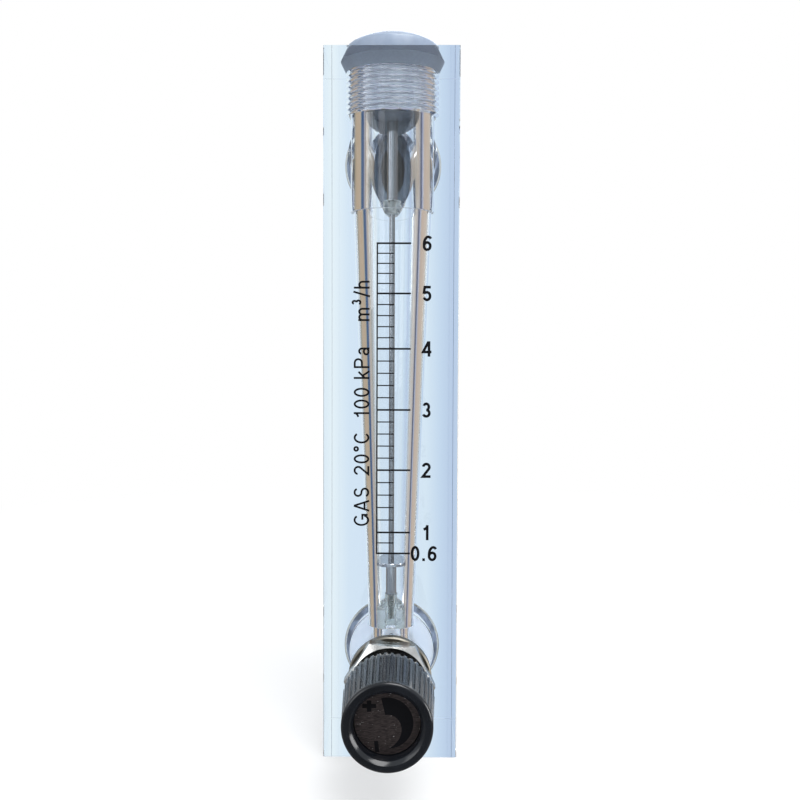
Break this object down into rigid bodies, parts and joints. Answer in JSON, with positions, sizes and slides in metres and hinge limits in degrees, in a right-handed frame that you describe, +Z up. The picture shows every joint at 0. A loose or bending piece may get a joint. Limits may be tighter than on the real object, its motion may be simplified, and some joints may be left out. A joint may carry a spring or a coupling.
{
  "type": "rotameter",
  "caption": "Clear block flow meter with a steel float on a rod in a tapered bore, a needle valve with a ribbed knob and rear pipe threads.",
  "frame": {"origin": "centre of the block's foot, where the meter stands", "axes": "+Z up along the metering bore; -Y out of the front face, where the scale and the knob are; +X to the right seen from the front"},
  "size_m": [0.038, 0.1075, 0.208],
  "materials": {
    "acrylic": "polished",
    "plug_acrylic": "satin",
    "seal_rubber": "matte",
    "steel": "satin",
    "float_steel": "polished",
    "guide_nylon": "satin",
    "plated_brass": "satin",
    "knob_plastic": "satin",
    "disc_metal": "satin"
  },
  "bodies": {
    "meter": {"meter_block": "acrylic", "top_plug": "plug_acrylic", "plug_seal": "seal_rubber", "rod_sleeve": "steel", "upper_float_stop": "guide_nylon", "guide_rod": "steel", "lower_guide": "guide_nylon", "bezel_washer": "plated_brass", "valve_body": "plated_brass", "valve_body_seal": "seal_rubber", "inlet_fitting": "plated_brass", "inlet_seal": "seal_rubber", "inlet_panel_nut": "plated_brass", "outlet_fitting": "plated_brass", "outlet_seal": "seal_rubber", "outlet_panel_nut": "plated_brass"},
    "float": {"float": "float_steel"},
    "stem_seal": {"stem_seal": "seal_rubber"},
    "valve_knob": {"valve_stem": "plated_brass", "knob": "knob_plastic", "knob_screw": "steel", "knob_disc": "disc_metal"}
  },
  "joints": [
    {"name": "float_slide", "type": "slide", "parent": "meter", "child": "float", "axis": [0, 0, 1], "range_m": [0, 0.103]},
    {"name": "valve_travel", "type": "slide", "parent": "meter", "child": "stem_seal", "axis": [0, -1, 0], "range_m": [-0.002, 0.003]},
    {"name": "valve_turn", "type": "hinge", "parent": "stem_seal", "child": "valve_knob", "pos_m": [0, -0.03, 0.0235], "axis": [0, -1, 0], "range_deg": [-721, 1081]}
  ],
  "couplings": [
    {"joint": "valve_turn", "follows": "valve_travel", "rad_per_m": 6283.2}
  ]
}
